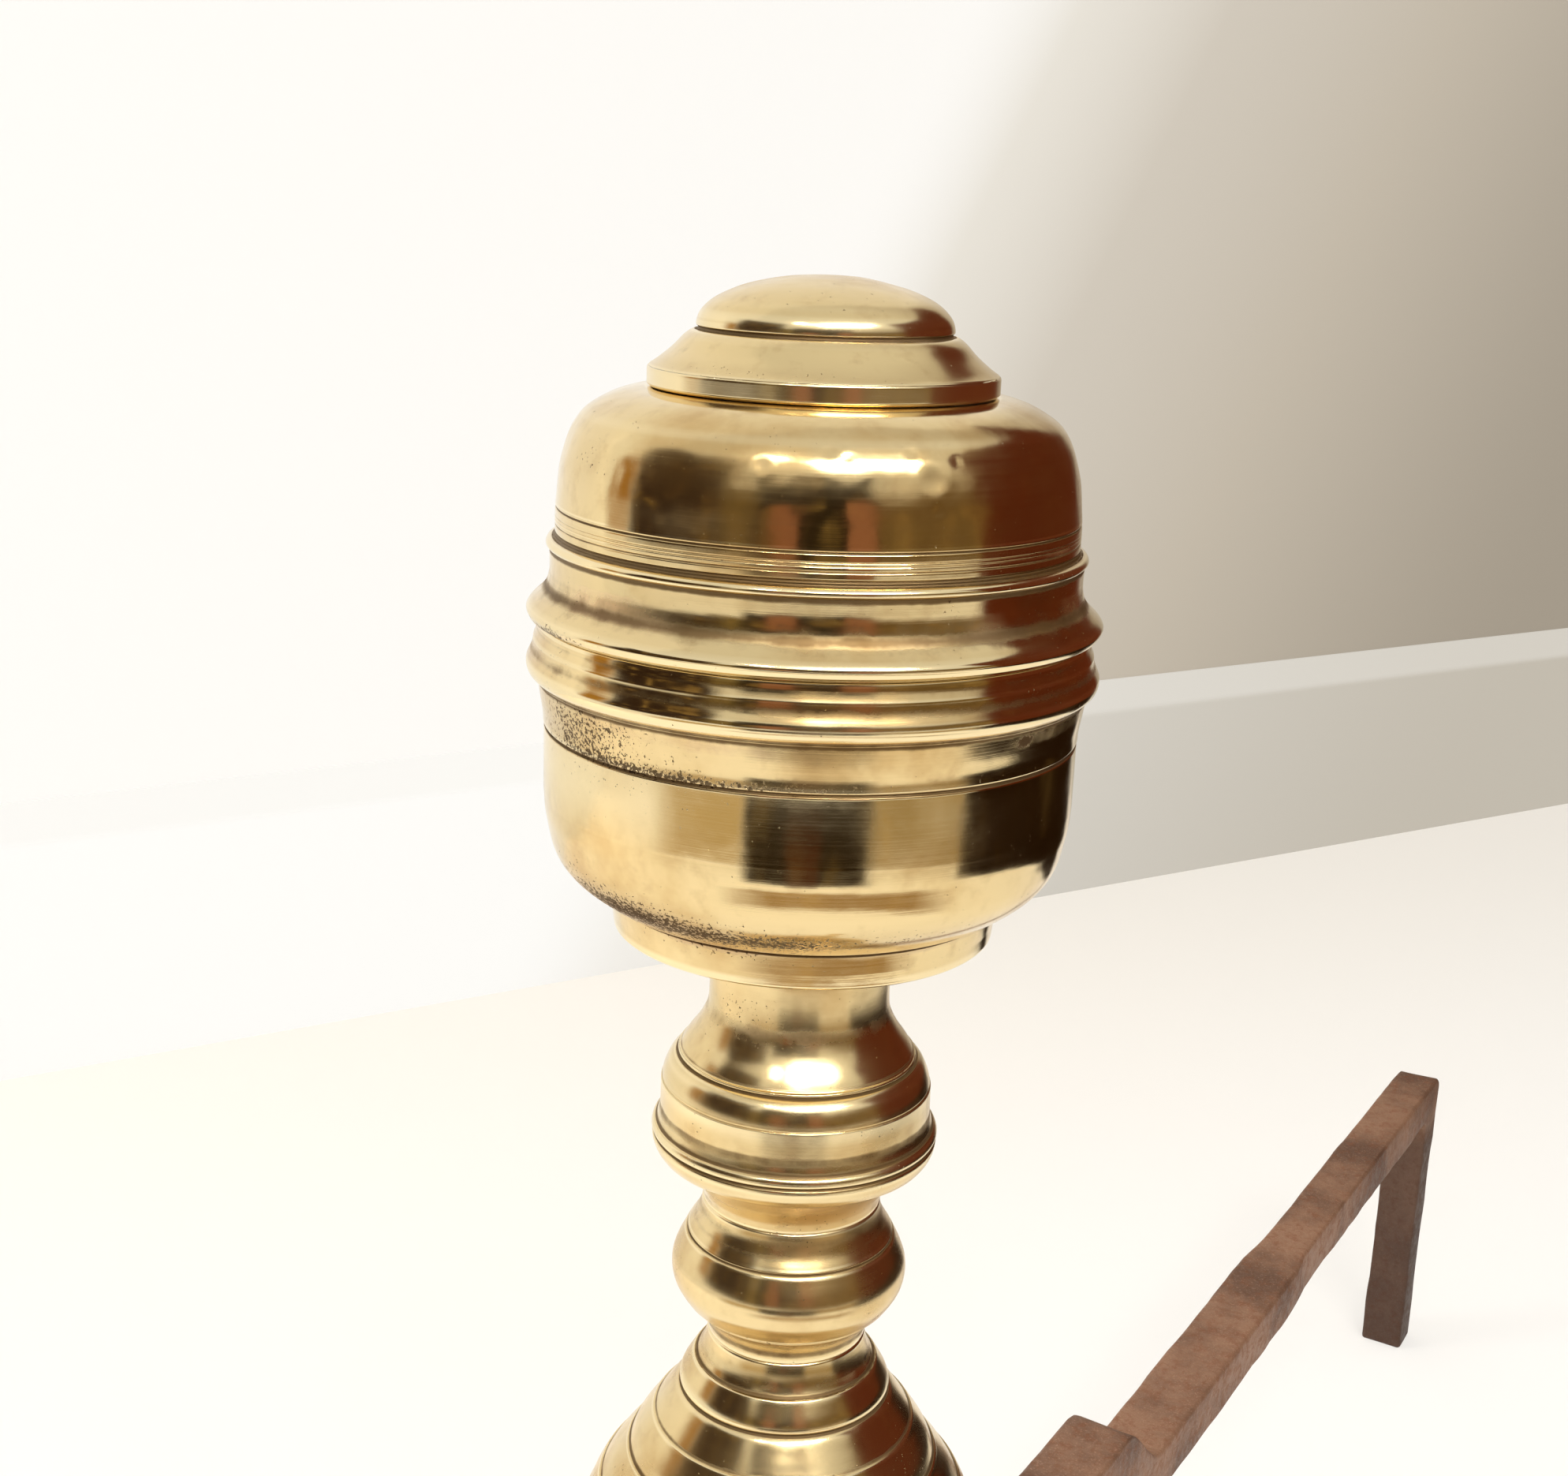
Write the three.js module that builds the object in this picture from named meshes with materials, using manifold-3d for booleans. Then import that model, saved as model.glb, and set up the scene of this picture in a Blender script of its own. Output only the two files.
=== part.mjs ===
// A brass andiron: turned brass pieces threaded on an iron rod, standing on a square plinth and two
// cabriole legs, with a forged iron billet bar that runs back to its own rear leg.
// Millimetres, +Z up. The column's axis is the group's own Z axis until the last lines; the bar runs to +Y.

import * as THREE from "three";
import { mergeVertices } from "three/addons/utils/BufferGeometryUtils.js";
import ManifoldModule from "manifold-3d";

const wasm = await ManifoldModule();
wasm.setup();
const { Manifold, Mesh: SolidMesh } = wasm;

// ---- Driving dimensions ----

const seam = 0.1; // what is left between two pieces that are stacked and clamped
const wall = 3.2; // thickness of the brass castings
const turns = 28; // facets round a turned piece
const coreTurns = 18; // facets round the plainer hollow inside it
const boreTurns = 16; // facets round a small hole or pin

const rod = { radius: 4.75, clearance: 0.35, intoCap: 9, belowNut: 4 };
const washer = { radius: 15, thickness: 2.5 };
const nut = { acrossFlats: 17, thickness: 9, corner: 1 };

const cap = { height: 19.4, radius: 30.5, domeRadius: 22.3 };
const barrel = { height: 40.5, radius: 45.8, tablet: 30.5, beltOut: 5 };
const bowl = { height: 56.5, swell: 1.8, footRadius: 34.7, footHeight: 6.8 };
const scribed = 0.5; // depth of an incised line
const upperKnop = { height: 54.8, neck: 16.8, bead: 26.9 };
const lowerKnop = { height: 27.8, neck: 15.2, radius: 22.5 };
const bell = { height: 61.4, radius: 42.6 };
const spool = { height: 42, waist: 27, foot: 39 };

const plinth = { side: 84, height: 46, ledge: 2.5, ledgeHeight: 5, ledges: 2 };
const bridge = { thickness: 8, overhang: 2, bossRadius: 13, bossHeight: 14 };
const leg = { reach: 100, splay: 24, root: 27, rootRadius: 12, kneeRadius: 13.5, ankleRadius: 6.5 };
const legPad = { thickness: 6, width: 22, length: 30 };
const foot = { height: 25, radius: 13.5, neck: 8 };
const rivet = { radius: 3, headRadius: 5.5, headHeight: 2.4, clearance: 0.3, spacing: 18 };

const bar = { width: 20, rearWidth: 17, depth: 16, top: 123.5, end: 533.5 };
const logStop = { rise: 20, until: 178, slope: 28 };
const barTaper = { from: 335, to: 348 };
const eye = { radius: 15, clearance: 0.4 };
const rearLeg = { depth: 15.5, outerCorner: 5, innerCorner: 4 };
const barSlot = { side: 0.5, above: 0.5 };

const brass = new THREE.MeshStandardMaterial({ color: 0xc9a35c, roughness: 0.22, metalness: 1 });
const iron = new THREE.MeshStandardMaterial({ color: 0x6b4a33, roughness: 0.8, metalness: 0.4 });

// ---- Solids ----

const degrees = THREE.MathUtils.degToRad;
const at = (r, z) => new THREE.Vector2(r, z);

// A closed three.js geometry as a solid that can be joined and cut.
function solidFrom(geometry) {
  const bare = geometry.clone();
  bare.deleteAttribute("normal");
  bare.deleteAttribute("uv");
  const merged = mergeVertices(bare, 1e-4);
  return new Manifold(
    new SolidMesh({
      numProp: 3,
      vertProperties: new Float32Array(merged.attributes.position.array),
      triVerts: new Uint32Array(merged.index.array),
    }),
  );
}

function nodeFrom(solid, name, material, z = 0) {
  const { vertProperties, triVerts } = solid.getMesh();
  const geometry = new THREE.BufferGeometry();
  geometry.setAttribute("position", new THREE.BufferAttribute(vertProperties, 3));
  geometry.setIndex(new THREE.BufferAttribute(triVerts, 1));
  geometry.computeVertexNormals();
  const mesh = new THREE.Mesh(geometry, material);
  mesh.name = name;
  mesh.position.z = z;
  return mesh;
}

// A point given as a share of the way from one radius to another, and as a share of a height.
const shares = (inner, outer, height) => (r, z) => at(THREE.MathUtils.lerp(inner, outer, r), z * height);

// An outline drawn from the foot up, of corners, of lists of points that a smooth run goes through, and
// of curves { by: [control, control], to: end }.
function outlineOf(runs) {
  const points = [runs[0]];
  for (const run of runs.slice(1)) {
    const from = points[points.length - 1];
    if (Array.isArray(run)) {
      points.push(...new THREE.SplineCurve([from, ...run]).getPoints(run.length + 1).slice(1));
    } else if (run.by) {
      points.push(...new THREE.CubicBezierCurve(from, ...run.by, run.to).getPoints(6).slice(1));
    } else {
      points.push(run);
    }
  }
  return points;
}

// Turns an outline round the column's axis, closed on the axis at both ends.
function revolved(points, facets = turns) {
  const foot = at(0, points[0].y);
  const top = at(0, points[points.length - 1].y);
  const closed = [foot, ...points, top].map((p) => at(Math.max(p.x, 0), p.y));
  return solidFrom(new THREE.LatheGeometry(closed, facets).rotateX(Math.PI / 2));
}

// A cylinder on the column's axis, between two heights.
function post(radius, from, to, facets = turns) {
  const geometry = new THREE.CylinderGeometry(radius, radius, to - from, facets).rotateX(Math.PI / 2);
  return solidFrom(geometry.translate(0, 0, (from + to) / 2));
}

function rodHole(from, to) {
  return post(rod.radius + rod.clearance, from - 1, to + 1, boreTurns);
}

// The radius of an outline at a height, where it is narrowest.
function radiusAt(points, z) {
  const radii = points.slice(1).map((end, i) => {
    const start = points[i];
    const inside = (z - start.y) * (z - end.y) <= 0 && start.y !== end.y;
    return inside ? THREE.MathUtils.mapLinear(z, start.y, end.y, start.x, end.x) : Infinity;
  });
  return Math.min(...radii);
}

// A turned casting: its outline revolved, less a plain core that leaves the wall's thickness, with a
// round mouth through its foot and another through its top.
function casting(runs, height, footMouth, topMouth) {
  const points = outlineOf(runs);
  const steps = Math.round(height / wall / 3);
  const inner = Array.from({ length: steps + 1 }, (_, i) => {
    const z = THREE.MathUtils.mapLinear(i, 0, steps, wall, height - wall);
    const narrowest = Math.min(...[-0.5, 0, 0.5].map((share) => radiusAt(points, z + share * wall)));
    return at(narrowest - wall, z);
  });
  const foot = [at(footMouth, -1), at(footMouth, wall)];
  const top = [at(topMouth, height - wall), at(topMouth, height + 1)];
  return revolved(points).subtract(revolved([...foot, ...inner, ...top], coreTurns));
}

// A closed skin over rings of points that all have the same number of corners.
function skinned(rings) {
  const n = rings[0].length;
  const corners = rings.flat();
  const centre = (ring) => ring.reduce((sum, p) => sum.add(p), new THREE.Vector3()).divideScalar(n);
  corners.push(centre(rings[0]), centre(rings[rings.length - 1]));
  const faces = [];
  for (let k = 0; k < rings.length - 1; k++) {
    for (let i = 0; i < n; i++) {
      const a = k * n + i;
      const b = k * n + ((i + 1) % n);
      faces.push(a, b, b + n, a, b + n, a + n);
    }
  }
  const last = (rings.length - 1) * n;
  for (let i = 0; i < n; i++) {
    faces.push(rings.length * n, (i + 1) % n, i);
    faces.push(rings.length * n + 1, last + i, last + ((i + 1) % n));
  }
  const geometry = new THREE.BufferGeometry().setFromPoints(corners);
  geometry.setIndex(faces);
  return solidFrom(geometry);
}

// ---- Heights, from the floor up ----

const barUnder = bar.top - bar.depth;
const stopTop = bar.top + logStop.rise;
const stopUnder = barUnder + logStop.rise;
const bridgeTop = stopUnder - bridge.bossHeight;
const bridgeBase = bridgeTop - bridge.thickness;
const plinthBase = bridgeTop + seam;
const plinthTop = plinthBase + plinth.height;
const spoolBase = plinthTop + seam;
const bellBase = spoolBase + spool.height + seam;
const lowerKnopBase = bellBase + bell.height + seam;
const upperKnopBase = lowerKnopBase + lowerKnop.height + seam;
const bowlBase = upperKnopBase + upperKnop.height + seam;
const barrelBase = bowlBase + bowl.height + seam;
const capBase = barrelBase + barrel.height + seam;

// ---- The column ----

function finialCap() {
  const { height, radius, domeRadius } = cap;
  const p = shares(domeRadius, radius, height);
  const runs = [
    p(1, 0),
    p(1, 0.155),
    [p(0.95, 0.19), p(0.79, 0.232), p(0.476, 0.345), p(0.23, 0.454), p(0.085, 0.495)],
    p(-0.04, 0.51),
    p(-0.04, 0.536),
    p(0, 0.546),
    { by: [at(domeRadius * 0.97, height * 0.784), at(domeRadius * 0.54, height)], to: at(0, height) },
  ];
  const threadedHole = post(rod.radius + rod.clearance, -1, rod.intoCap + 1, boreTurns);
  return nodeFrom(revolved(outlineOf(runs)).subtract(threadedHole), "finial_cap", brass, capBase);
}

// From the undercut lip of the belt up: belt, cove, bead, a scribed line and the round shoulder.
function finialUpperShell() {
  const { height, radius, tablet, beltOut } = barrel;
  const p = shares(radius, radius + beltOut, height);
  const runs = [
    p(0.58, 0),
    p(0.9, 0.027),
    [p(1, 0.057), p(0.6, 0.106), p(0.28, 0.16), p(0.2, 0.222), p(0.22, 0.301)],
    p(0.22, 0.314),
    [p(0.34, 0.336), p(0.16, 0.36)],
    p(0.02, 0.365),
    p(0.02, 0.454),
    at(radius - scribed, height * 0.462),
    p(0.02, 0.469),
    p(0, 0.501),
    { by: [p(-0.04, 0.802), p(-0.66, 0.97)], to: at(tablet, height) },
  ];
  const solid = casting(runs, height, radius - wall, rod.radius + rod.clearance);
  return nodeFrom(solid, "finial_upper_shell", brass, barrelBase);
}

// From the foot up: foot ring, bowl, a scribed line, the slope, the second belt and its cove.
function finialLowerShell() {
  const { height, swell, footRadius, footHeight } = bowl;
  const radius = barrel.radius + swell;
  const p = shares(radius, barrel.radius + barrel.beltOut, height);
  const q = shares(footRadius, radius, height);
  const runs = [
    q(0, 0),
    at(footRadius + 0.9, footHeight),
    at(footRadius + 1.5, footHeight + 0.4),
    { by: [q(0.53, 0.163), q(0.945, 0.221)], to: p(0, 0.46) },
    p(0, 0.667),
    at(radius - scribed, height * 0.672),
    p(0.02, 0.678),
    [p(0.22, 0.759), p(0.375, 0.819)],
    p(0.625, 0.835),
    [p(0.94, 0.851), p(1, 0.873), p(0.875, 0.892), p(0.66, 0.931), p(0.6, 0.952)],
    [p(0.375, 0.977), p(0.344, 1)],
  ];
  const solid = casting(runs, height, rod.radius + rod.clearance, radius - wall);
  return nodeFrom(solid, "finial_lower_shell", brass, bowlBase);
}

function upperKnopPiece() {
  const { height, neck, bead } = upperKnop;
  const p = shares(neck, bead, height);
  const runs = [
    p(0.01, 0),
    [p(0.05, 0.038), p(0.376, 0.117), p(0.634, 0.157)],
    p(0.861, 0.181),
    [p(0.97, 0.212), p(1, 0.245)],
    p(0.96, 0.254),
    [p(1.02, 0.274), p(0.95, 0.294)],
    p(0.856, 0.321),
    p(0.851, 0.44),
    [p(0.8, 0.471), p(0.703, 0.509), p(0.584, 0.535)],
    p(0.545, 0.549),
    [p(0.238, 0.626), p(0.03, 0.704), p(0, 0.748), p(0.04, 0.839), p(0.515, 1)],
  ];
  return nodeFrom(casting(runs, height, neck - wall, neck - wall), "upper_knop", brass, upperKnopBase);
}

function lowerKnopPiece() {
  const { height, neck, radius } = lowerKnop;
  const p = shares(neck, radius, height);
  const runs = [
    p(0, 0),
    [p(0.055, 0.079), p(0.45, 0.216)],
    p(0.55, 0.227),
    p(0.55, 0.259),
    [p(0.863, 0.374), p(1, 0.475), p(0.89, 0.619), p(0.671, 0.745)],
    p(0.616, 0.752),
    [p(0.425, 0.845), p(0.288, 0.924), p(0.233, 1)],
  ];
  return nodeFrom(casting(runs, height, neck - wall, neck - wall), "lower_knop", brass, lowerKnopBase);
}

// From the foot up: rounded lip, the bell in four waves with a small step between them, and the ring.
function bellShaft() {
  const { height, radius } = bell;
  const p = shares(lowerKnop.neck, radius, height);
  const runs = [
    p(0.92, 0),
    [p(1, 0.049), p(0.949, 0.098)],
    p(0.92, 0.104),
    p(0.92, 0.124),
    [p(0.942, 0.163), p(0.92, 0.26), p(0.858, 0.358), p(0.77, 0.443)],
    p(0.745, 0.452),
    [p(0.65, 0.518), p(0.573, 0.567)],
    p(0.555, 0.57),
    [p(0.467, 0.638), p(0.38, 0.7)],
    p(0.358, 0.704),
    [p(0.27, 0.759), p(0.198, 0.801)],
    p(0.208, 0.808),
    [p(0.215, 0.831), p(0.16, 0.873), p(0.11, 0.9)],
    p(0.08, 0.904),
    [p(0.029, 0.945), p(0, 1)],
  ];
  const mouth = spool.foot - wall;
  return nodeFrom(casting(runs, height, mouth, lowerKnop.neck - wall), "bell_shaft", brass, bellBase);
}

function baseSpool() {
  const { height, waist, foot: widest } = spool;
  const p = shares(waist, widest, height);
  const runs = [
    p(1, 0),
    [p(1.2, 0.07), p(1, 0.14)],
    p(0.75, 0.17),
    [p(0.27, 0.34), p(0, 0.55), p(0.2, 0.74), p(0.5, 0.8)],
    p(0.6, 0.83),
    [p(0.82, 0.91), p(0.6, 1)],
  ];
  return nodeFrom(casting(runs, height, waist, waist), "base_spool", brass, spoolBase);
}

// ---- The plinth and what is inside it ----

function block(width, length, thickness, z) {
  return solidFrom(new THREE.BoxGeometry(width, length, thickness).translate(0, 0, z + thickness / 2));
}

function slab(side, thickness, z) {
  return block(side, side, thickness, z);
}

// A hollow square box with stepped ledges at its foot and its top, a slot behind and in front for the
// bar, and a boss inside that bears down on the bar's eye.
function plinthBox() {
  const { side, height, ledge, ledgeHeight, ledges } = plinth;
  const waistSide = side - 2 * ledge;
  const step = ledge / ledges;
  const tiers = Array.from({ length: ledges }, (_, i) => i).flatMap((i) => {
    const tierSide = side - 2 * step * i;
    const rise = (ledgeHeight / ledges) * (i + 1);
    return [slab(tierSide, rise, 0), slab(tierSide, rise, height - rise)];
  });
  const inside = slab(waistSide - 2 * wall, height - wall, -seam);
  const bossFoot = stopTop - plinthBase + seam;
  const boss = post(bridge.bossRadius, bossFoot, height - wall / 2);
  const slotWidth = bar.width + 2 * barSlot.side;
  const slotTop = stopTop - plinthBase + barSlot.above;
  const slot = block(slotWidth, side, slotTop + wall, -wall).translate([0, side / 2, 0]);
  const shell = Manifold.union([slab(waistSide, height, 0), ...tiers]).subtract(inside).subtract(slot);
  return nodeFrom(shell.add(boss).subtract(rodHole(0, height)), "plinth", brass, plinthBase);
}

// The four rivets sit on the line of each leg, on both sides of its root.
const legPose = (side) => new THREE.Euler(0, 0, side * degrees(leg.splay));
const rivetPlaces = (side) =>
  [-1, 1]
    .map((end) => new THREE.Vector3(side * leg.root, (end * rivet.spacing) / 2, 0))
    .map((place) => place.applyEuler(legPose(-side)));

function legBridge() {
  const side = plinth.side + 2 * bridge.overhang;
  const plate = slab(side, bridge.thickness, 0);
  const boss = post(bridge.bossRadius, bridge.thickness / 2, stopUnder - seam - bridgeBase);
  const hole = post(rivet.radius + rivet.clearance, -1, bridge.thickness + 1, boreTurns);
  const holes = [-1, 1].flatMap((s) => rivetPlaces(s)).map((p) => hole.translate([p.x, p.y, 0]));
  const solid = plate.add(boss).subtract(rodHole(0, stopUnder)).subtract(Manifold.union(holes));
  return nodeFrom(solid, "leg_bridge", brass, bridgeBase);
}

// ---- The front legs ----

// A turned foot: a flat pad, a ball and a short neck that the ankle runs into.
function turnedFoot() {
  const p = shares(foot.neck, foot.radius, foot.height);
  const runs = [
    p(0.8, 0),
    [p(1, 0.06), p(0.9, 0.14)],
    p(0.6, 0.16),
    [p(0.95, 0.34), p(1, 0.48), p(0.7, 0.72)],
    p(0.3, 0.8),
    p(0, 1),
  ];
  return revolved(outlineOf(runs), coreTurns).translate([leg.reach, 0, 0]);
}

// A cabriole leg: round in section, full at the knee, thin at the ankle, on a turned foot. It ends above
// in a flat pad that two rivets hold under the bridge.
function frontLeg(side, name) {
  const knee = bridgeBase - seam;
  const p = shares(leg.root, leg.reach, knee);
  const places = [p(-0.04, 0.953), p(0.3, 0.83), p(0.58, 0.58), p(0.82, 0.35), p(1, 0.2)];
  const line = new THREE.CatmullRomCurve3(places.map((q) => new THREE.Vector3(q.x, 0, q.y)));
  const girth = new THREE.SplineCurve([
    at(0, leg.rootRadius),
    at(1 / 3, leg.kneeRadius),
    at(2 / 3, leg.ankleRadius * 1.3),
    at(1, leg.ankleRadius),
  ]);
  const across = new THREE.Vector3(0, 1, 0);
  const stations = 12;
  const corners = 14;
  const rings = [];
  for (let k = 0; k <= stations; k++) {
    const t = k / stations;
    const centre = line.getPointAt(t);
    const out = new THREE.Vector3().crossVectors(across, line.getTangentAt(t)).normalize();
    const radius = girth.getPoint(t).y;
    const ring = [];
    for (let i = 0; i < corners; i++) {
      const a = (i / corners) * 2 * Math.PI;
      const corner = centre.clone().addScaledVector(across, radius * Math.cos(a));
      ring.push(corner.addScaledVector(out, -radius * Math.sin(a)));
    }
    rings.push(ring);
  }
  const { thickness, width, length } = legPad;
  const under = knee - thickness;
  const pad = block(width, length, thickness, under).translate([leg.root, 0, 0]);
  const above = slab(2 * leg.reach, knee, knee);
  const rivetSpots = [-1, 1].map((end) => [leg.root, (end * rivet.spacing) / 2, 0]);
  const hole = post(rivet.radius + rivet.clearance, under - thickness, knee + 1, boreTurns);
  const headRoom = post(rivet.headRadius + rivet.clearance, under - leg.kneeRadius * 2, under, boreTurns);
  const drilled = hole.add(headRoom);
  const solid = Manifold.union([skinned(rings), pad, turnedFoot()])
    .subtract(above)
    .subtract(Manifold.union(rivetSpots.map((place) => drilled.translate(place))));
  const placed = side > 0 ? solid : solid.mirror([1, 0, 0]);
  const mesh = nodeFrom(placed, name, brass);
  mesh.rotation.copy(legPose(-side));
  return mesh;
}

// A rivet with a domed head below the leg's pad and a shank up through the bridge.
function legRivet(place, name) {
  const { radius, headRadius, headHeight } = rivet;
  const runs = [
    at(0, -headHeight),
    { by: [at(headRadius * 0.6, -headHeight), at(headRadius, -headHeight / 2)], to: at(headRadius, -seam) },
    at(radius, -seam),
    at(radius, legPad.thickness + bridge.thickness),
  ];
  const padUnder = bridgeBase - seam - legPad.thickness;
  const mesh = nodeFrom(revolved(outlineOf(runs), boreTurns), name, brass, padUnder);
  mesh.position.x = place.x;
  mesh.position.y = place.y;
  return mesh;
}

// ---- Ironwork ----

function tieRod() {
  const foot = bridgeBase - washer.thickness - nut.thickness - 2 * seam - rod.belowNut;
  const head = capBase + rod.intoCap;
  return nodeFrom(post(rod.radius, 0, head - foot, boreTurns), "tie_rod", iron, foot);
}

function rodWasher() {
  const solid = post(washer.radius, 0, washer.thickness).subtract(rodHole(0, washer.thickness));
  return nodeFrom(solid, "rod_washer", iron, bridgeBase - seam - washer.thickness);
}

function rodNut() {
  const { acrossFlats, thickness, corner } = nut;
  const round = acrossFlats * Math.SQRT1_2 - corner;
  const cone = new THREE.CylinderGeometry(round, round + corner, thickness, turns).rotateX(Math.PI / 2);
  const chamfer = solidFrom(cone.translate(0, 0, thickness / 2));
  const solid = slab(acrossFlats, thickness, 0).intersect(chamfer).subtract(rodHole(0, thickness));
  return nodeFrom(solid, "rod_nut", iron, bridgeBase - 2 * seam - washer.thickness - thickness);
}

// The bar is its side view extruded across, cut to its plan: an eye round the rod, a square bar that
// steps down behind the log stop, and the end turned down square into the rear leg.
function billetBar() {
  const inner = bar.end - rearLeg.depth;
  const slopeEnd = logStop.until + logStop.slope;
  const middle = logStop.until + logStop.slope / 2;
  const side = new THREE.Shape();
  side.moveTo(-eye.radius, stopUnder);
  side.lineTo(logStop.until, stopUnder);
  side.bezierCurveTo(middle, stopUnder, middle, barUnder, slopeEnd, barUnder);
  side.lineTo(inner - rearLeg.innerCorner, barUnder);
  side.quadraticCurveTo(inner, barUnder, inner, barUnder - rearLeg.innerCorner);
  side.lineTo(inner, 0);
  side.lineTo(bar.end, 0);
  side.lineTo(bar.end, bar.top - rearLeg.outerCorner);
  side.quadraticCurveTo(bar.end, bar.top, bar.end - rearLeg.outerCorner, bar.top);
  side.lineTo(slopeEnd, bar.top);
  side.bezierCurveTo(middle, bar.top, middle, stopTop, logStop.until, stopTop);
  side.lineTo(-eye.radius, stopTop);
  const across = { depth: 4 * eye.radius, bevelEnabled: false, curveSegments: 8 };
  const blank = new THREE.ExtrudeGeometry(side, across).rotateX(Math.PI / 2).rotateZ(Math.PI / 2);
  blank.translate(-2 * eye.radius, 0, 0);

  const half = bar.width / 2;
  const rearHalf = bar.rearWidth / 2;
  const plan = new THREE.Shape([
    at(-half, 0),
    at(half, 0),
    at(half, barTaper.from),
    at(rearHalf, barTaper.to),
    at(rearHalf, bar.end),
    at(-rearHalf, bar.end),
    at(-rearHalf, barTaper.to),
    at(-half, barTaper.from),
  ]);
  const strip = solidFrom(new THREE.ExtrudeGeometry(plan, { depth: 2 * stopTop, bevelEnabled: false }));
  const ring = post(eye.radius, 0, 2 * stopTop);
  const hole = post(rod.radius + eye.clearance, barUnder, 2 * stopTop, boreTurns);
  return nodeFrom(solidFrom(blank).intersect(strip.add(ring)).subtract(hole), "billet_bar", iron);
}

// ---- The whole andiron ----

const column = new THREE.Group();
column.name = "column";
column.add(finialCap(), finialUpperShell(), finialLowerShell(), upperKnopPiece(), lowerKnopPiece());
column.add(bellShaft(), baseSpool());

const base = new THREE.Group();
base.name = "base";
base.add(plinthBox(), legBridge(), frontLeg(1, "front_leg_right"), frontLeg(-1, "front_leg_left"));
for (const [side, word] of [[1, "right"], [-1, "left"]]) {
  rivetPlaces(side).forEach((place, i) => base.add(legRivet(place, `leg_rivet_${word}_${i + 1}`)));
}

const ironwork = new THREE.Group();
ironwork.name = "ironwork";
ironwork.add(tieRod(), rodWasher(), rodNut(), billetBar());

const andiron = new THREE.Group();
andiron.name = "andiron";
andiron.add(column, base, ironwork);

// The origin is the middle of the footprint, on the floor.
const middle = new THREE.Box3().setFromObject(andiron, true).getCenter(new THREE.Vector3());
andiron.position.y = -middle.y;

export default andiron;
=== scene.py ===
"""A brass andiron with its iron billet bar, dressed for a studio picture.

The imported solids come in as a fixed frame; each section below makes one piece of the real andiron.
Lengths in the sections are millimetres, turned to metres by MM.
"""

import math

import bmesh
import bpy
from mathutils import Matrix, Vector, noise


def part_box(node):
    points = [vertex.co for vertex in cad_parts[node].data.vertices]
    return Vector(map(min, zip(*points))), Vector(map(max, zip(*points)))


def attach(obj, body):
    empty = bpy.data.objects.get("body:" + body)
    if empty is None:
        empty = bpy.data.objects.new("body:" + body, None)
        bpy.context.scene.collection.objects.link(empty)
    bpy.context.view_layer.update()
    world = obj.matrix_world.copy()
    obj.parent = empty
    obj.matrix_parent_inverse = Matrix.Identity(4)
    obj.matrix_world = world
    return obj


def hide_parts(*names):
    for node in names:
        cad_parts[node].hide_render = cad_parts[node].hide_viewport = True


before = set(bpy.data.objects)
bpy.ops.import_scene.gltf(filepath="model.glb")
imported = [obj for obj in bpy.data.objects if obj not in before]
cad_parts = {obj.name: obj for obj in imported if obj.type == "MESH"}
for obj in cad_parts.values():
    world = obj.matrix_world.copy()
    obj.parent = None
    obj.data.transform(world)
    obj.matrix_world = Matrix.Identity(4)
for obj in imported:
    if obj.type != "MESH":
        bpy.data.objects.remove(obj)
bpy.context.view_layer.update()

MM = 0.001
scene = bpy.context.scene
scene.view_settings.view_transform = "Standard"

rod_low, rod_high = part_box("tie_rod")
axis_y = (rod_low[1] + rod_high[1]) / 2
column_axis = Vector((0, axis_y, 0))

# ---------------------------------------------------------------------------------------------------
# The camera. It stands a good foot in front of the ball top, to the right and a little above it, as
# the photograph was taken, with a lens of 47 mm on a full frame and a slight tilt.

camera_place = Vector((179.5, -309.7, 475.0)) * MM + column_axis
camera_heading, camera_pitch, camera_roll = math.radians(30.83), math.radians(14.73), math.radians(2.09)

camera_data = bpy.data.cameras.new("camera")
camera_data.lens = 47.08
camera_data.sensor_width = 36
camera_data.sensor_fit = "HORIZONTAL"
camera = bpy.data.objects.new("camera", camera_data)
scene.collection.objects.link(camera)
camera_turn = (
    Matrix.Rotation(camera_heading, 4, "Z")
    @ Matrix.Rotation(math.pi / 2 - camera_pitch, 4, "X")
    @ Matrix.Rotation(camera_roll, 4, "Z")
)
camera.matrix_world = Matrix.Translation(camera_place) @ camera_turn
scene.camera = camera

# ---------------------------------------------------------------------------------------------------
# The room. Polished brass is the colour of what stands round it, so the room has a pale ceiling and a
# white side at the left, and glowing cards paint reflections of a dim stretch behind the camera and of
# red-brown wood at the right.


def linear(code):
    """An sRGB hex colour as the linear RGBA that shaders take."""
    channels = [int(code[i : i + 2], 16) / 255 for i in (1, 3, 5)]
    return (*[c / 12.92 if c <= 0.04045 else ((c + 0.055) / 1.055) ** 2.4 for c in channels], 1)


def add(tree, kind, values=None, links=None, **settings):
    """Adds a shader node: its settings, its sockets' values, and what its sockets are linked to."""
    node = tree.nodes.new(kind)
    for name, value in settings.items():
        setattr(node, name, value)
    for socket, value in (values or {}).items():
        node.inputs[socket].default_value = value
    for socket, source in (links or {}).items():
        tree.links.new(source, node.inputs[socket])
    return node


def ramp(tree, source, stops, interpolation="LINEAR"):
    """A colour ramp on a value: stops are (place, hex colour)."""
    node = add(tree, "ShaderNodeValToRGB", links={0: source})
    node.color_ramp.interpolation = interpolation
    while len(node.color_ramp.elements) < len(stops):
        node.color_ramp.elements.new(0.5)
    for element, (place, code) in zip(node.color_ramp.elements, stops):
        element.position = place
        element.color = linear(code)
    return node.outputs["Color"]


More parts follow.
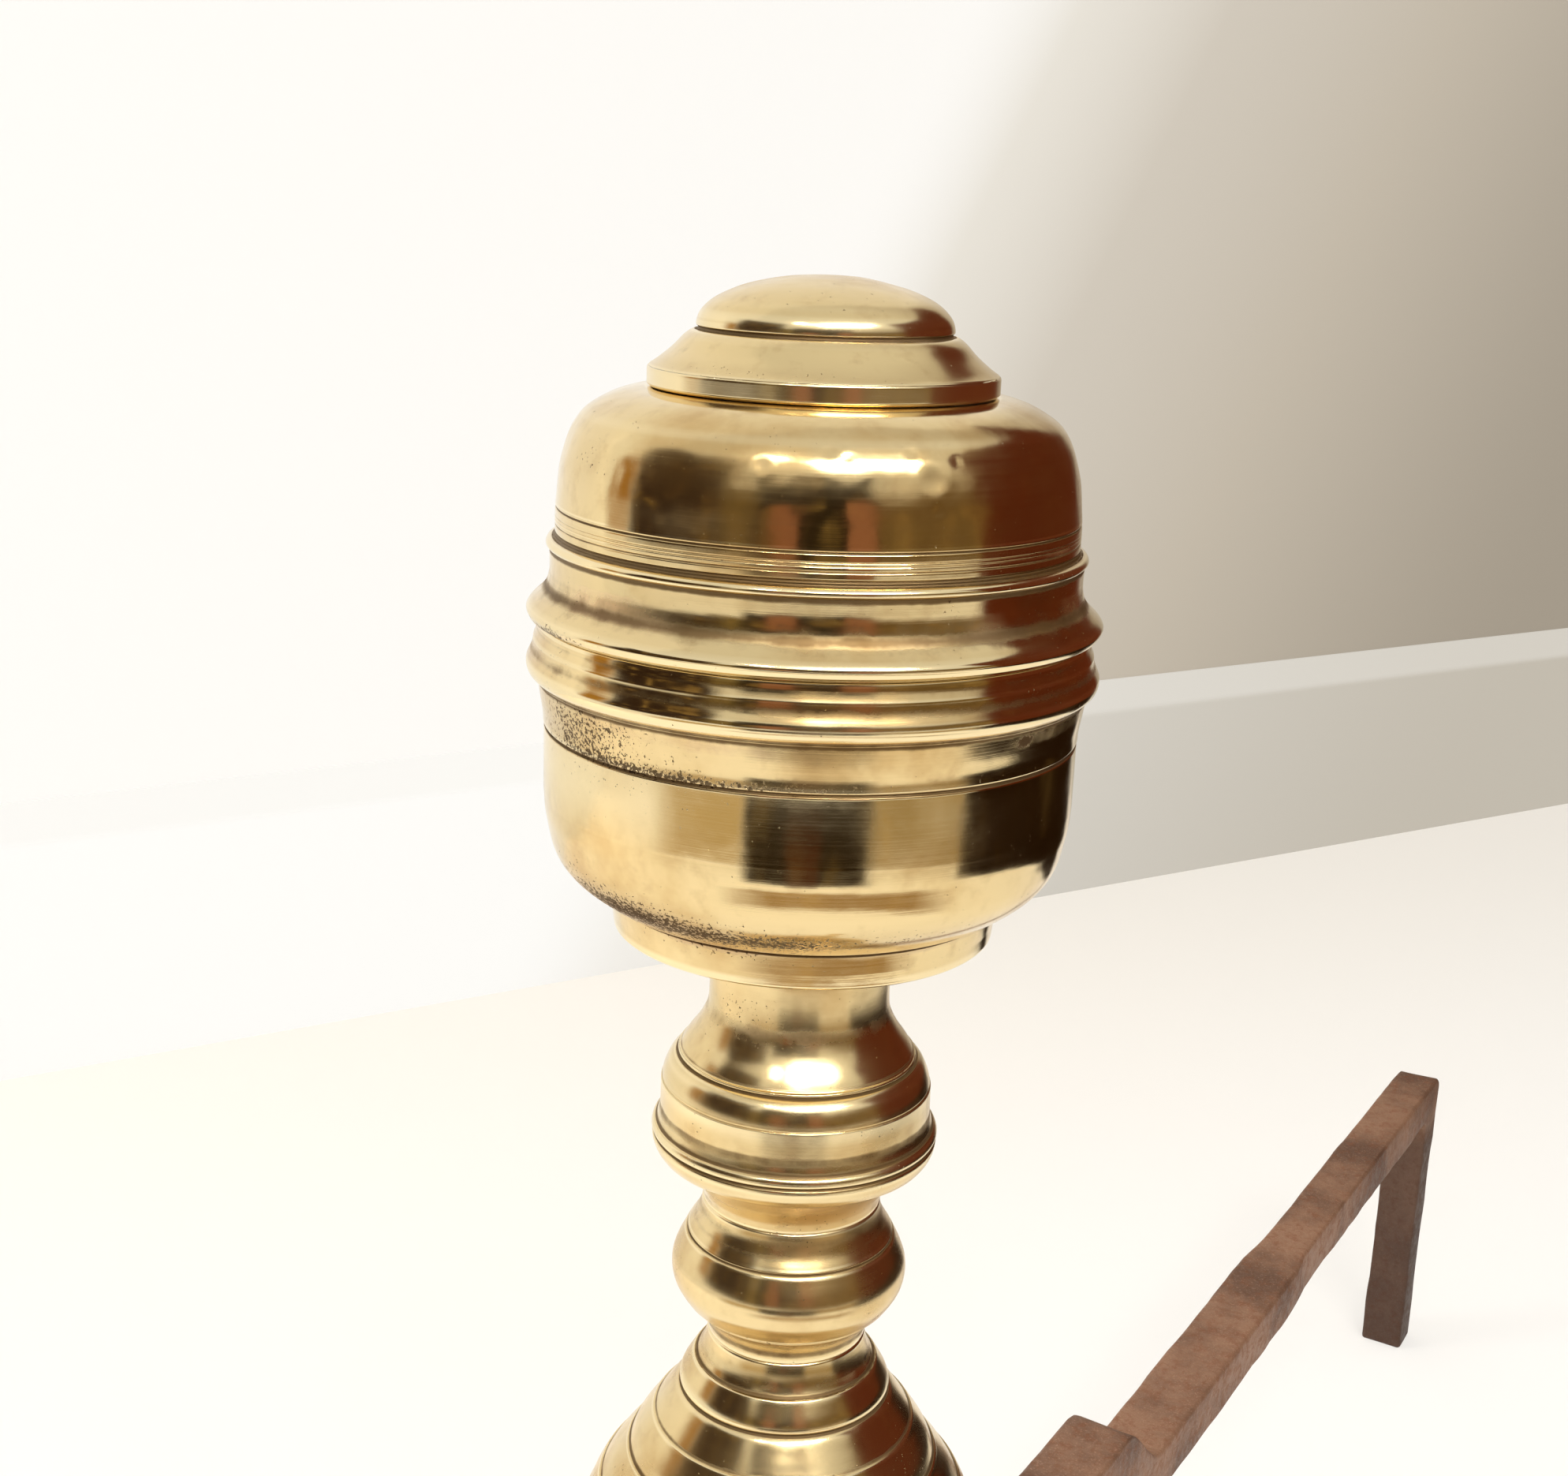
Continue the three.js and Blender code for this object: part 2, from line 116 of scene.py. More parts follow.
def math_node(tree, operation, first, second=0.0, third=0.0, clamp=False):
    """One step of arithmetic, on sockets or plain numbers."""
    node = add(tree, "ShaderNodeMath", operation=operation, use_clamp=clamp)
    for socket, given in enumerate((first, second, third)):
        if isinstance(given, (int, float)):
            node.inputs[socket].default_value = given
        else:
            tree.links.new(given, node.inputs[socket])
    return node.outputs[0]


def mix(tree, share, first, second):
    """A colour between two, each a socket or a hex colour."""
    node = add(tree, "ShaderNodeMix", data_type="RGBA")
    for socket, given in ((0, share), (6, first), (7, second)):
        if isinstance(given, str):
            node.inputs[socket].default_value = linear(given)
        elif isinstance(given, (int, float)):
            node.inputs[socket].default_value = given
        else:
            tree.links.new(given, node.inputs[socket])
    return node.outputs[2]


def spread(tree, value, low, high, to_low=0.0, to_high=1.0):
    """A value moved from one range to another, held at its ends and eased between them."""
    node = add(
        tree,
        "ShaderNodeMapRange",
        {"From Min": low, "From Max": high, "To Min": to_low, "To Max": to_high},
        {"Value": value},
        interpolation_type="SMOOTHSTEP",
    )
    return node.outputs[0]


def cloud(tree, place, size, detail, rough=0.6, distortion=0.0):
    """Soft noise whose clouds have a size in mm."""
    values = {"Scale": 1 / (size * MM), "Detail": detail, "Roughness": rough, "Distortion": distortion}
    return add(tree, "ShaderNodeTexNoise", values, {"Vector": place}).outputs[0]


room_strength = 0.8  # what the room gives the brass, against 1 for the backdrop that the camera sees

world = bpy.data.worlds.new("room")
world.use_nodes = True
scene.world = world
room = world.node_tree
room.nodes.clear()
toward = add(room, "ShaderNodeTexCoord").outputs["Generated"]
camera_side = math.atan2(camera_place.x, -(camera_place.y - axis_y))
turned = add(
    room, "ShaderNodeVectorRotate", {"Angle": -camera_side}, {"Vector": toward}, rotation_type="Z_AXIS"
).outputs[0]
# East is to the right of the camera, and far is beyond the column as the camera sees it.
east, far, up = add(room, "ShaderNodeSeparateXYZ", links={0: turned}).outputs
walls = ramp(
    room,
    spread(room, east, -1, 1),
    [(0.0, "#fffcf6"), (0.32, "#f4efe4"), (0.62, "#cbbda6"), (1.0, "#97846c")],
)
ceiling = mix(room, spread(room, up, 0.12, 0.6), walls, "#fffdf8")
backdrop_colour = ramp(room, spread(room, east, -0.5, 0.5), [(0.0, "#fefcf8"), (1.0, "#d9d1c3")])
rays = add(room, "ShaderNodeLightPath").outputs
seen = math_node(room, "MAXIMUM", rays["Is Camera Ray"], rays["Is Transmission Ray"])
mirrored = math_node(room, "MULTIPLY", rays["Is Glossy Ray"], spread(room, far, 0.1, 0.7))
pale = math_node(room, "MAXIMUM", seen, mirrored)
room_colour = mix(room, pale, ceiling, backdrop_colour)
strength = math_node(room, "MULTIPLY_ADD", seen, 1 - room_strength, room_strength)
shine = add(room, "ShaderNodeBackground", links={"Color": room_colour, "Strength": strength})
add(room, "ShaderNodeOutputWorld", links={"Surface": shine.outputs[0]})


def round_the_column(angle, distance, height):
    """A place in metres: degrees to the right of the camera, and millimetres out from the column and up."""
    heading = camera_side + math.radians(angle)
    return column_axis + Vector((math.sin(heading) * distance, -math.cos(heading) * distance, height)) * MM


def side_of(place):
    """How many degrees a place lies round the column, to the right of the camera."""
    return math.degrees(math.atan2(place.x, axis_y - place.y) - camera_side)


def softbox(name, angle, distance, height, aim, width, length, watts, colour):
    """A soft lamp that faces a height on the column."""
    data = bpy.data.lights.new(name, "AREA")
    data.shape = "RECTANGLE"
    data.size, data.size_y = width * MM, length * MM
    data.energy = watts
    data.color = linear(colour)[:3]
    lamp = bpy.data.objects.new(name, data)
    lamp.location = round_the_column(angle, distance, height)
    ray = column_axis + Vector((0, 0, aim * MM)) - lamp.location
    lamp.rotation_euler = ray.to_track_quat("-Z", "Y").to_euler()
    scene.collection.objects.link(lamp)
    return lamp


# The broad lamp at the left only lights: the brass shows the white room there and not the lamp. The one
# overhead shines on every shoulder, and four small ones make the sharp sparks of a room's downlights.
softbox("broad_left", -100, 1100, 620, 330, 500, 900, 10, "#fffbf5").visible_glossy = False
softbox("overhead", 20, 820, 1200, 420, 700, 260, 8, "#fffcf7")
for number, angle in enumerate((-24, -3, 16, 44), 1):
    softbox(f"downlight_{number}", angle, 760, 1130 + 40 * (number % 2), 400, 56, 56, 0.9, "#fffaf0")


card_steps = 24  # flat strips in each curved card
mottle_size = 110  # mm across a warm mottle on a card
mottle_colour = "#c9a768"


def painted_reflection_card(name, colour, from_angle, to_angle, distance, low, high, mottled=0.3, soft=0.1):
    """A curved card that glows with its own colour and that only reflections see, faded along its edges: a
    painted reflection of the dim and brown parts of a room.
    """
    bm = bmesh.new()
    solid = bm.verts.layers.float.new("solid")
    column = []
    for share, shown in ((0, 0), (soft, 1), (1 - soft, 1), (1, 0)):
        column.append(bm.verts.new(round_the_column(from_angle, distance, low + share * (high - low))))
        column[-1][solid] = shown
    edges = [bm.edges.new(pair) for pair in zip(column, column[1:])]
    bmesh.ops.spin(
        bm,
        geom=[*column, *edges],
        cent=column_axis,
        axis=(0, 0, 1),
        angle=math.radians(to_angle - from_angle),
        steps=card_steps,
    )
    for vert in bm.verts:
        across = (side_of(vert.co) - from_angle) / (to_angle - from_angle)
        vert[solid] *= max(0, min(1, across / soft, (1 - across) / soft))
    mesh = bpy.data.meshes.new(name)
    bm.to_mesh(mesh)
    bm.free()
    card = bpy.data.objects.new(name, mesh)
    scene.collection.objects.link(card)
    paint = bpy.data.materials.new(name)
    paint.use_nodes = True
    tree = paint.node_tree
    tree.nodes.clear()
    place = add(tree, "ShaderNodeTexCoord").outputs["Object"]
    mottles = spread(tree, cloud(tree, place, mottle_size, 3, 0.5), 0.5, 0.72)
    shade = mix(tree, math_node(tree, "MULTIPLY", mottles, mottled), colour, mottle_colour)
    # Painted reflection: the card glows with its colour and warm mottles, though it is no lamp.
    glow = add(tree, "ShaderNodeEmission", {"Strength": 1}, {"Color": shade})
    clear = add(tree, "ShaderNodeBsdfTransparent").outputs[0]
    cover = add(tree, "ShaderNodeAttribute", attribute_name="solid").outputs["Fac"]
    faded = add(tree, "ShaderNodeMixShader", links={0: cover, 1: clear, 2: glow.outputs[0]})
    add(tree, "ShaderNodeOutputMaterial", links={"Surface": faded.outputs[0]})
    mesh.materials.append(paint)
    card.visible_camera = False
    card.visible_diffuse = False
    card.visible_shadow = False
    card.visible_transmission = False


# These cards are painted reflections: glowing sheets, seen only in the brass, for the dim and brown parts of
# a room.
# Card by card, from the left of the camera round to the right, first at the ball's height and then low:
# its colour, its two ends in degrees to the right of the camera, its distance, foot and top in mm, and
# for some how strong its mottles are and what share of it fades at each edge.
painted_reflection_card("amber_card", "#a8792e", -100, -84, 1150, 280, 900, soft=0.25)
painted_reflection_card("dim_side_card", "#33241a", -88, -36, 1200, 250, 1380, 0.5)
painted_reflection_card("olive_gap_card", "#75643f", -46, -18, 1300, 230, 950)
painted_reflection_card("dim_middle_card", "#2a2013", -30, 26, 600, 280, 740, soft=0.06)
painted_reflection_card("rosy_card_left", "#94654c", -19, -7, 580, 300, 560, 0.1)
painted_reflection_card("rosy_card_right", "#94654c", 11.5, 24.5, 580, 300, 600, 0.1)
painted_reflection_card("olive_card", "#6f5a38", 15, 80, 930, 250, 740)
painted_reflection_card("brown_card", "#5c2a16", 69.5, 156, 900, 150, 1280, 0.05, 0.03)
painted_reflection_card("gold_low_card", "#c0a778", -68, -15, 780, 40, 225, 0.5, 0.25)
painted_reflection_card("dim_low_card", "#2a2013", -27, 28, 600, 55, 240, 0.2, 0.07)
painted_reflection_card("warm_low_card", "#4a2c1a", -9, 7, 590, 30, 200, 0.1, 0.2)
painted_reflection_card("olive_low_card", "#a08a62", 18, 74, 780, 40, 225, 0.5, 0.15)
painted_reflection_card("brown_low_card", "#221408", 65, 156, 760, 2, 228, 0.05, 0.03)
painted_reflection_card("gold_foot_card", "#a5865a", -40, 75, 420, 4, 95, 0.4, 0.2)

# The floor is one pale sheet, and a pale wall with a low board along its foot stands behind. Both give
# the camera and the reflections part of their colour as light, so that they stay pale, and keep shadows.


floor_lit, wall_lit = 0.6, 0.85  # the share of their colour that is light of their own
floor_size = 6  # metres


def backdrop_paint(name, colour_of, lit, see_through_back=False):
    """A matt paint that the camera and the reflections see partly as light. Its back can be clear."""
    paint = bpy.data.materials.new(name)
    paint.use_nodes = True
    tree = paint.node_tree
    tree.nodes.clear()
    colour = colour_of(tree)
    path = add(tree, "ShaderNodeLightPath").outputs
    direct = math_node(tree, "MAXIMUM", path["Is Camera Ray"], path["Is Glossy Ray"])
    direct = math_node(tree, "MAXIMUM", direct, path["Is Transmission Ray"])
    cloth = add(tree, "ShaderNodeBsdfDiffuse", links={"Color": colour}).outputs[0]
    glow = add(tree, "ShaderNodeEmission", links={"Color": colour}).outputs[0]
    share = math_node(tree, "MULTIPLY", direct, lit)
    surface = add(tree, "ShaderNodeMixShader", links={0: share, 1: cloth, 2: glow}).outputs[0]
    if see_through_back:
        clear = add(tree, "ShaderNodeBsdfTransparent").outputs[0]
        back = add(tree, "ShaderNodeNewGeometry").outputs["Backfacing"]
        surface = add(tree, "ShaderNodeMixShader", links={0: back, 1: surface, 2: clear}).outputs[0]
    add(tree, "ShaderNodeOutputMaterial", links={"Surface": surface})
    return paint


def staged(name, bm, paint):
    """Makes a piece of the stage, which is no part of the andiron."""
    mesh = bpy.data.meshes.new(name)
    bm.to_mesh(mesh)
    bm.free()
    mesh.materials.append(paint)
    thing = bpy.data.objects.new(name, mesh)
    scene.collection.objects.link(thing)


wall_foot = Vector((-351, 1046, 0)) * MM + column_axis
wall_run = Vector((239, 455, 0)).normalized()
wall_out = Vector((wall_run.y, -wall_run.x, 0))
wall_reach = 3.2  # metres each way along its foot


def measured(tree, way):
    """How far a place lies from the middle of the wall's foot, along a given way."""
    place = add(tree, "ShaderNodeTexCoord").outputs["Object"]
    offset = add(tree, "ShaderNodeVectorMath", {1: wall_foot}, {0: place}, operation="SUBTRACT").outputs[0]
    return add(tree, "ShaderNodeVectorMath", {1: way}, {0: offset}, operation="DOT_PRODUCT").outputs["Value"]


def floor_colour(tree):
    """White, with painted shade: a little darker and creamier towards the wall."""
    # Painted shade near the wall's foot.
    away = spread(tree, measured(tree, wall_out), 0, 0.75)
    return ramp(tree, away, [(0.0, "#f9f4ec"), (1.0, "#fffdfa")])


floor_paint = backdrop_paint("floor_paper", floor_colour, floor_lit)
bm = bmesh.new()
bmesh.ops.create_grid(bm, x_segments=1, y_segments=1, size=floor_size)
staged("floor", bm, floor_paint)


shade_way = wall_run * 0.873 - Vector((0, 0, 0.488))  # into the shade: along the wall and down
shade_start, shade_end = -0.44, 0.33  # metres along that way
wall_height = 2600  # mm
lip_foot, lip_full = 0.128, 0.134  # metres up, where the painted highlight on the board's sloping lip sets in


def shaded(tree, stops):
    """White at the left and in a slanting shade towards the right, as the light falls."""
    return ramp(tree, spread(tree, measured(tree, shade_way), shade_start, shade_end), stops)


def wall_colour(tree):
    """White paint that goes grey-beige in the shade."""
    stops = [(0.0, "#fdfbf7"), (0.03, "#e9e4da"), (0.15, "#d2cabd"), (0.47, "#c5bbab"), (1.0, "#a79d8e")]
    return shaded(tree, stops)


def board_colour(tree):
    """Like the wall, but paler, with a painted highlight on the sloping lip along its top."""
    stops = [(0.0, "#fdfcf9"), (0.03, "#f3f0ea"), (0.15, "#e0dcd4"), (0.47, "#d3cec4"), (1.0, "#c6bfb2")]
    # Painted highlight: the lip is lightened because it faces up into the light.
    painted_lip_highlight = spread(tree, measured(tree, Vector((0, 0, 1))), lip_foot, lip_full, 0, 0.35)
    return mix(tree, painted_lip_highlight, shaded(tree, stops), "#f4f1ea")


def wall_sheet(name, profile, colour_of):
    """A sheet from a profile of distance out from the wall and height in mm, run along the wall's foot."""
    bm = bmesh.new()
    start = wall_foot - wall_run * wall_reach
    line = [
        bm.verts.new(start + wall_out * (out * MM) + Vector((0, 0, height * MM)))
        for out, height in profile
    ]
    edges = [bm.edges.new(pair) for pair in zip(line, line[1:])]
    grown = bmesh.ops.extrude_edge_only(bm, edges=edges)
    moved = [v for v in grown["geom"] if isinstance(v, bmesh.types.BMVert)]
    bmesh.ops.translate(bm, verts=moved, vec=wall_run * (2 * wall_reach))
    for face in bm.faces:
        face.normal_update()
        if face.normal.dot(wall_out + Vector((0, 0, 0.1))) < 0:
            face.normal_flip()
    staged(name, bm, backdrop_paint(name + "_paint", colour_of, wall_lit, True))


wall_sheet("wall", [(0, 0), (0, wall_height)], wall_colour)
wall_sheet("wall_board", [(14, 0), (14, 131), (3, 151), (0, 151)], board_colour)

# ---------------------------------------------------------------------------------------------------
# The brass. Cast yellow brass, turned, polished for decades by hand: a warm gold mirror crossed by the
# fine rings of the lathe and the polishing cloth, clouded by patina, specked by old tarnish, dark in the
# creases that the cloth never reaches and bright on the edges.

ring_pitch = 0.35  # mm between turning lines, drawn as coarse as they need to show
patina_size, fine_size = 34, 5  # mm across the broad and the fine clouds of patina
patch_size, grain_size = 19, 0.62  # mm across the patches of tarnish, and across its grains
haze_size, dust_size = 6, 27  # mm across the haze round tarnish, and across the dusty stretches
pit_spacing, pitted_size = 1.3, 17  # mm between casting pits, and across the places that have them
wave_size, ripple_size = 13, 4.5  # mm across the long and the short waves of hand polishing


def brass_material(name, roughness, rings):
    """Polished brass. The pieces mark their hollows, shelter and grime as attributes."""
    material = bpy.data.materials.new(name)
    material.use_nodes = True
    tree = material.node_tree
    shader = tree.nodes["Principled BSDF"]
    place = add(tree, "ShaderNodeTexCoord").outputs["Object"]
    centred = add(tree, "ShaderNodeMapping", {"Location": (0, -axis_y, 0)}, {"Vector": place}).outputs[0]
    x, y, z = add(tree, "ShaderNodeSeparateXYZ", links={0: centred}).outputs

    # Round the axis a ring changes slowly and up the column quickly.
    square = math_node(tree, "ADD", math_node(tree, "MULTIPLY", x, x), math_node(tree, "MULTIPLY", y, y))
    radius = math_node(tree, "SQRT", square)
    safe = math_node(tree, "MAXIMUM", radius, 0.001)
    across = math_node(tree, "DIVIDE", x, safe)
    along = math_node(tree, "DIVIDE", y, safe)
    slope = math_node(tree, "MULTIPLY_ADD", radius, 0.8, z)
    climb = math_node(tree, "MULTIPLY", slope, 1 / (ring_pitch * MM))
    wrapped = add(tree, "ShaderNodeCombineXYZ", links={0: across, 1: along, 2: climb}).outputs[0]
    fineness = {"Scale": 1, "Detail": 3, "Roughness": 0.7}
    ring = add(tree, "ShaderNodeTexNoise", fineness, {"Vector": wrapped}).outputs[0]

    # Dark creases, edges rubbed bright, and faint dust in the wide hollows.
    patina = cloud(tree, centred, patina_size, 5)
    fine = cloud(tree, centred, fine_size, 4)
    unevenness = math_node(tree, "SUBTRACT", fine, 0.5)
    relief = add(tree, "ShaderNodeAttribute", attribute_name="relief").outputs["Fac"]
    crease = spread(tree, math_node(tree, "MULTIPLY_ADD", unevenness, 0.7, relief), 0.2, 0.85)
    worn = spread(tree, relief, -0.15, -0.8)
    shelter = add(tree, "ShaderNodeAttribute", attribute_name="shelter").outputs["Fac"]
    hollow = spread(tree, math_node(tree, "MULTIPLY_ADD", unevenness, 0.9, shelter), 0.45, 1.05)
    dusty = spread(tree, cloud(tree, centred, dust_size, 2, 0.5), 0.45, 0.65)
    residue = math_node(tree, "MULTIPLY", hollow, dusty)

    # Old tarnish lies in grains where each piece says, and thinly in patches everywhere.
    grime = add(tree, "ShaderNodeAttribute", attribute_name="grime").outputs["Fac"]
    patches = cloud(tree, centred, patch_size, 4, 0.65, 0.5)
    gathered = math_node(tree, "MULTIPLY_ADD", grime, 0.26, spread(tree, patches, 0.5, 0.8, 0, 0.09))
    grain = cloud(tree, centred, grain_size, 3, 0.65)
    speck = spread(tree, math_node(tree, "ADD", grain, gathered), 0.73, 0.78)
    haze = math_node(tree, "MULTIPLY", grime, cloud(tree, centred, haze_size, 3), clamp=True)
    pits = add(tree, "ShaderNodeTexVoronoi", {"Scale": 1 / (pit_spacing * MM)}, {"Vector": centred})
    pitted = spread(tree, cloud(tree, centred, pitted_size, 2, 0.5), 0.52, 0.7)
    pit = math_node(tree, "LESS_THAN", pits.outputs["Distance"], math_node(tree, "MULTIPLY", pitted, 0.1))

    gold = mix(tree, spread(tree, patina, 0.42, 0.68), "#e8d09c", "#d3b37a")
    gold = mix(tree, math_node(tree, "MULTIPLY", spread(tree, fine, 0.5, 0.75), 0.22), gold, "#b5905a")
    gold = mix(tree, worn, gold, "#f3dfb0")
    gold = mix(tree, math_node(tree, "MULTIPLY", residue, 0.3), gold, "#d9b09a")
    gold = mix(tree, math_node(tree, "MULTIPLY", haze, 0.6), gold, "#8d6638")
    gold = mix(tree, math_node(tree, "MULTIPLY", crease, 0.8), gold, "#553819")
    spots = math_node(tree, "MAXIMUM", speck, pit)
    gold = mix(tree, math_node(tree, "MULTIPLY", spots, 0.8), gold, "#3c2412")
    tree.links.new(gold, shader.inputs["Base Color"])
    bare = math_node(tree, "MULTIPLY_ADD", residue, -0.25, 1.0, clamp=True)
    tree.links.new(bare, shader.inputs["Metallic"])

    dull = math_node(tree, "MULTIPLY_ADD", spread(tree, patina, 0.4, 0.75), 0.14, roughness)
    dull = math_node(tree, "MULTIPLY_ADD", math_node(tree, "SUBTRACT", ring, 0.5), 0.12 * rings, dull)
    dull = math_node(tree, "MULTIPLY_ADD", crease, 0.4, dull)
    dull = math_node(tree, "MULTIPLY_ADD", residue, 0.2, dull)
    dull = math_node(tree, "MULTIPLY_ADD", haze, 0.25, dull)
    dull = math_node(tree, "MULTIPLY_ADD", spots, 0.35, dull, clamp=True)
    tree.links.new(dull, shader.inputs["Roughness"])

    # Millimetres of height.
    wave = cloud(tree, centred, wave_size, 1, 0.4)
    ripple = cloud(tree, centred, ripple_size, 1, 0.4)
    lift = math_node(tree, "MULTIPLY", ring, 0.0045 * rings)
    lift = math_node(tree, "MULTIPLY_ADD", wave, 0.13, lift)
    lift = math_node(tree, "MULTIPLY_ADD", ripple, 0.03, lift)
    lift = math_node(tree, "MULTIPLY_ADD", fine, 0.012, lift)
    lift = math_node(tree, "MULTIPLY_ADD", spots, -0.05, lift)
    bump = add(tree, "ShaderNodeBump", {"Strength": 1, "Distance": MM}, {"Height": lift})
    tree.links.new(bump.outputs[0], shader.inputs["Normal"])
    return material


turned_brass = brass_material("turned_polished_brass", 0.1, 1.0)
rubbed_brass = brass_material("turned_brass_rubbed_softer", 0.19, 0.6)

# ---------------------------------------------------------------------------------------------------
# The cap of the ball top. A solid turned button: plain band, cove and low dome. It screws down on the
# tie rod and holds the whole stack together.


def smooth_run(points, spacing=0.55):
    """Points in mm along a smooth curve that goes through the given ones."""
    ends = [2 * points[0] - points[1], *points, 2 * points[-1] - points[-2]]
    placed = [points[0]]
    for before, start, end, after in zip(ends, ends[1:], ends[2:], ends[3:]):
        steps = max(2, round((end - start).length / spacing))
        for step in range(1, steps + 1):
            t = step / steps
            square = (2 * before - 5 * start + 4 * end - after) * t * t
            cube = (3 * start - 3 * end + after - before) * t**3
            placed.append(start + ((end - before) * t + (square + cube)) / 2)
    return placed


corner_share = 0.4  # the most that a rounded corner takes of a side
straight_share = 0.2  # the most of a side that is then held straight
straight_length = 0.15  # mm that are held straight otherwise


def turned_outline(runs, edge=0.22):
    """An outline of radius and height from the foot up. A pair is a corner, rounded by the edge, and a
    list of pairs is a smooth run."""
    marks = []
    for run in runs:
        if isinstance(run, list):
            marks += [(p, False) for p in smooth_run([marks[-1][0], *[Vector(q) for q in run]])[1:]]
        else:
            marks.append((Vector(run), True))
    points = []
    for i, (point, corner) in enumerate(marks):
        if not corner or i in (0, len(marks) - 1):
            points.append(point)
            continue
        back, ahead = marks[i - 1][0] - point, marks[i + 1][0] - point
        cut = min(edge, corner_share * back.length, corner_share * ahead.length)
        start, end = point + back.normalized() * cut, point + ahead.normalized() * cut
        points.append(start + back.normalized() * min(straight_length, straight_share * back.length))
        points += [start.lerp(point, t).lerp(point.lerp(end, t), t) for t in (0, 0.25, 0.5, 0.75, 1)]
        points.append(end + ahead.normalized() * min(straight_length, straight_share * ahead.length))
    return points


def relief_of(points, reach, full):
    """How far each point of an outline lies in a hollow, up to 1, or on an edge, down to -1."""
    found = []
    for i, point in enumerate(points):
        low = high = i
        while low > 0 and (points[low] - point).length < reach:
            low -= 1
        while high < len(points) - 1 and (points[high] - point).length < reach:
            high += 1
        chord = points[high] - points[low]
        offset = point - points[low]
        depth = (chord.x * offset.y - chord.y * offset.x) / max(chord.length, 1e-6)
        found.append(max(-1.0, min(1.0, depth / full)))
    return found


def marked(bm, base, places):
    """Marks how thick old tarnish lies, for places given as degrees right of the camera, height, the
    reach of both, and how thick."""
    layer = bm.verts.layers.float.new("grime")
    for vert in bm.verts:
        side = side_of(vert.co)
        height = (vert.co.z - base) / MM
        for angle, middle, wide, tall, thick in places:
            turn = (side - angle + 180) % 360 - 180
            vert[layer] += thick * math.exp(-((turn / wide) ** 2) - ((height - middle) / tall) ** 2)


knock_size, small_knock_size = 6.5, 2.7  # mm across the hollows that knocks have left
knock_fade = 4  # mm over which they fade out above and below


def beaten(bm, low, high, depth):
    """Shallow hollows between two heights, from years of knocks, that break up the light."""
    bm.normal_update()
    for vert in bm.verts:
        share = min(1, (vert.co.z - low) / (knock_fade * MM), (high - vert.co.z) / (knock_fade * MM))
        if share > 0:
            small = noise.noise(vert.co / (small_knock_size * MM))
            push = noise.noise(vert.co / (knock_size * MM)) + 0.3 * small
            vert.co += vert.normal * push * share * depth * MM


# What the brass is told of its hollows: how far round about each looks, and what depth counts in full, in mm.
hollows = (("relief", 0.75, 0.22), ("shelter", 4.0, 1.1))


def turned_piece(name, runs, replaced, grime=(), material=turned_brass, steps=192, shape=None):
    """Turns an outline round the column's axis, standing where the solid that it replaces stands."""
    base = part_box(replaced)[0][2]
    points = turned_outline([(0, runs[0][1]), *runs])
    bm = bmesh.new()
    for point in points:
        bm.verts.new((point.x * MM, axis_y, base + point.y * MM))
    for layer_name, reach, full in hollows:
        layer = bm.verts.layers.float.new(layer_name)
        for vert, value in zip(bm.verts, relief_of(points, reach, full)):
            vert[layer] = value
    wire = list(bm.verts)
    edges = [bm.edges.new(pair) for pair in zip(wire, wire[1:])]
    bmesh.ops.spin(
        bm,
        geom=[*wire, *edges],
        cent=column_axis,
        axis=(0, 0, 1),
        angle=2 * math.pi,
        steps=steps,
        use_merge=True,
    )
    bmesh.ops.remove_doubles(bm, verts=bm.verts, dist=1e-6)
    bmesh.ops.recalc_face_normals(bm, faces=bm.faces)
    marked(bm, base, grime)
    if shape:
        shape(bm, base)
    finished(bm, name, material, replaced)


def finished(bm, name, material, *replaced, slot="brass"):
    """Makes the piece's object, smooth shaded, in place of its solids."""
    for face in bm.faces:
        face.smooth = True
    mesh = bpy.data.meshes.new(name)
    bm.to_mesh(mesh)
    bm.free()
    mesh.materials.append(material)
    piece = bpy.data.objects.new(name, mesh)
    scene.collection.objects.link(piece)
    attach(piece, "root")
    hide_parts(*replaced)


cap_outline = [
    (29.9, 0.0),
    (30.5, 0.5),
    (30.5, 3.2),
    (30.05, 3.7),
    [(28.9, 4.45), (26.3, 6.6), (24.4, 8.6), (23.3, 9.45)],
    (22.7, 9.75),
    (21.95, 9.8),
    (21.85, 10.2),
    (22.25, 10.5),
    [(22.1, 11.6), (21.3, 13.2), (18.9, 15.3), (14.2, 17.35), (8.0, 18.8), (3.5, 19.3), (0, 19.4)],
]


def domed(bm, base):
    """The dome's own knocks."""
    beaten(bm, base + 10.5 * MM, base + 30 * MM, 0.08)


cap_grime = [(-20, 4.5, 60, 1, 0.4), (20, 16, 60, 3, 0.25)]
turned_piece("ball_cap", cap_outline, "finial_cap", cap_grime, rubbed_brass, shape=domed)

# ---------------------------------------------------------------------------------------------------
# The upper half of the belted ball. A hollow casting, turned outside: from the undercut lip of its belt
# up it has a cove, a bead, a band of fine lines and the round shoulder. Knocks have left dents in it.


def fine_line(radius, height, depth=0.3, width=0.4):
    """The corners of a line scribed round a wall."""
    return [(radius, height - width / 2), (radius - depth, height), (radius, height + width / 2)]


